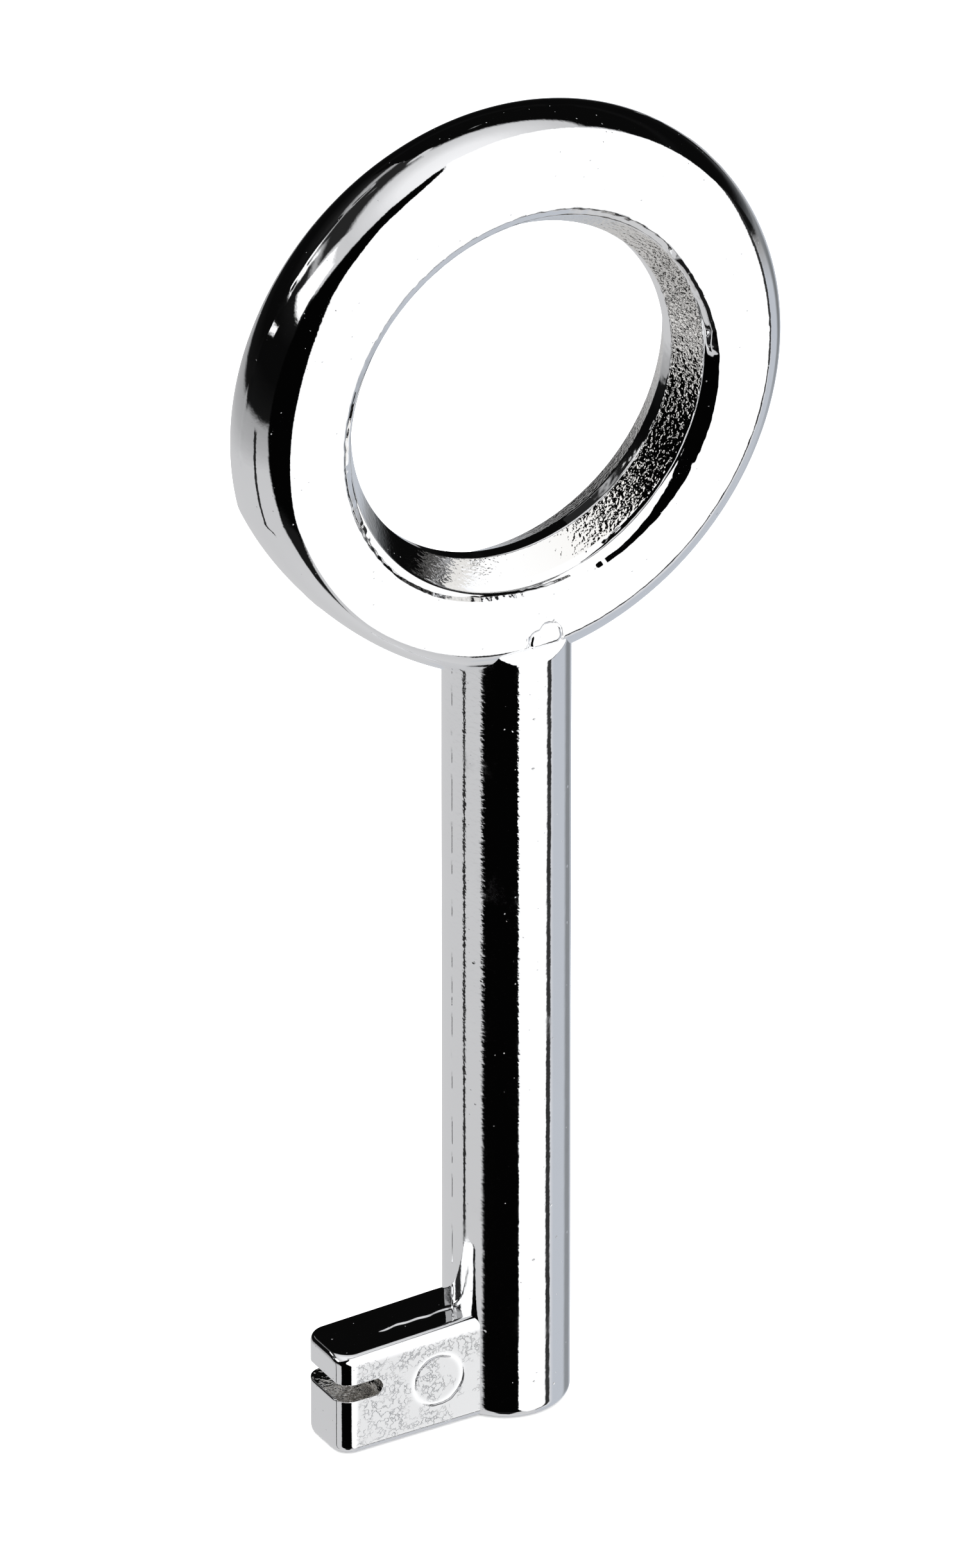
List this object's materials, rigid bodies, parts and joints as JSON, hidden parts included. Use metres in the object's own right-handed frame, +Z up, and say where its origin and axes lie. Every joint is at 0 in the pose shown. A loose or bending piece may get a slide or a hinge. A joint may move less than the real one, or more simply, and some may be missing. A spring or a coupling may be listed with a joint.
{
  "type": "bit key",
  "caption": "Chrome-plated bit key with a round ring bow, a straight round shank with a pipe end, and a short flat bit with one ward slot.",
  "frame": {"origin": "centre of the shank's lower end, on the shank axis, which is the bottom centre of the bounding box", "axes": "+Z up the shank to the bow; the ring bow lies in the XZ plane with its axis along Y; the bit points to -X"},
  "size_m": [0.0282, 0.006, 0.0675],
  "materials": {
    "bow_chrome": "bright chrome plate, polished faces, cast grain in the bore",
    "shank_chrome": "bright chrome plate over a drawn-smooth cast bar",
    "bit_chrome": "bright chrome plate over unpolished cast faces"
  },
  "bodies": {
    "root": {"bow": "bow_chrome", "shank": "shank_chrome", "bit": "bit_chrome"}
  },
  "joints": []
}
